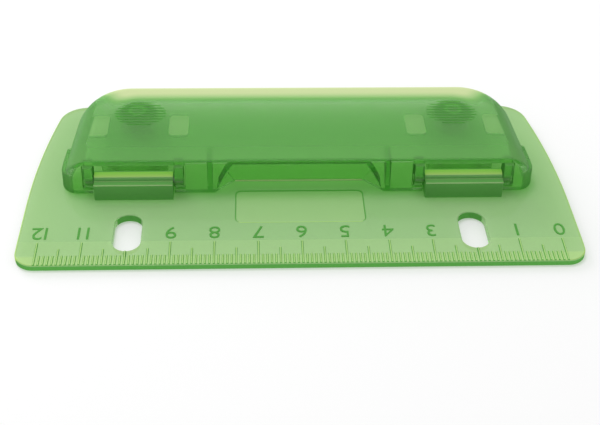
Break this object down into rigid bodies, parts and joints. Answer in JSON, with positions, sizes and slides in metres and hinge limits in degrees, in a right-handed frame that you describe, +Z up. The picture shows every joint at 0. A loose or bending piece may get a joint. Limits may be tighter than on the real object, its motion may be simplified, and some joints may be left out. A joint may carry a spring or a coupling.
{
  "type": "pocket hole punch",
  "caption": "Flat ruler plate carrying a hinged press lever that drives sprung steel punches through a sheet, with filing slots for a ring binder.",
  "frame": {"origin": "middle of the plate's underside", "axes": "+X along the ruler edge, +Y from the ruler edge to the paper side, +Z up"},
  "size_m": [0.1294, 0.064, 0.0113],
  "materials": {
    "plate_green": "clear tinted moulded plastic, polished",
    "lever_green": "tinted moulded plastic, lightly frosted top",
    "guide_green": "tinted moulded plastic",
    "cap_green": "tinted moulded plastic",
    "steel": "ground steel",
    "spring_wire": "drawn spring wire"
  },
  "bodies": {
    "base": {"base_plate": "plate_green", "left_hinge_pin": "steel", "right_hinge_pin": "steel", "left_punch_guide": "guide_green", "right_punch_guide": "guide_green", "left_die_ring": "steel", "right_die_ring": "steel", "left_spring": "spring_wire", "right_spring": "spring_wire"},
    "lever": {"lever_shell": "lever_green"},
    "left_punch": {"left_punch_pin": "steel", "left_punch_cap": "cap_green"},
    "right_punch": {"right_punch_pin": "steel", "right_punch_cap": "cap_green"}
  },
  "joints": [
    {"name": "lever_hinge", "type": "hinge", "parent": "base", "child": "lever", "pos_m": [0, -0.005, 0.0052], "axis": [-1, 0, 0], "range_deg": [0, 6], "stiffness_Nm_per_rad": 3, "springref_deg": -4.3},
    {"name": "left_punch_slide", "type": "slide", "parent": "base", "child": "left_punch", "axis": [0, 0, -1], "range_m": [0, 0.00242], "deforming": ["left_spring"]},
    {"name": "right_punch_slide", "type": "slide", "parent": "base", "child": "right_punch", "axis": [0, 0, -1], "range_m": [0, 0.00242], "deforming": ["right_spring"]}
  ],
  "couplings": [
    {"joint": "left_punch_slide", "follows": "lever_hinge", "m_per_rad": 0.023},
    {"joint": "right_punch_slide", "follows": "lever_hinge", "m_per_rad": 0.023}
  ]
}
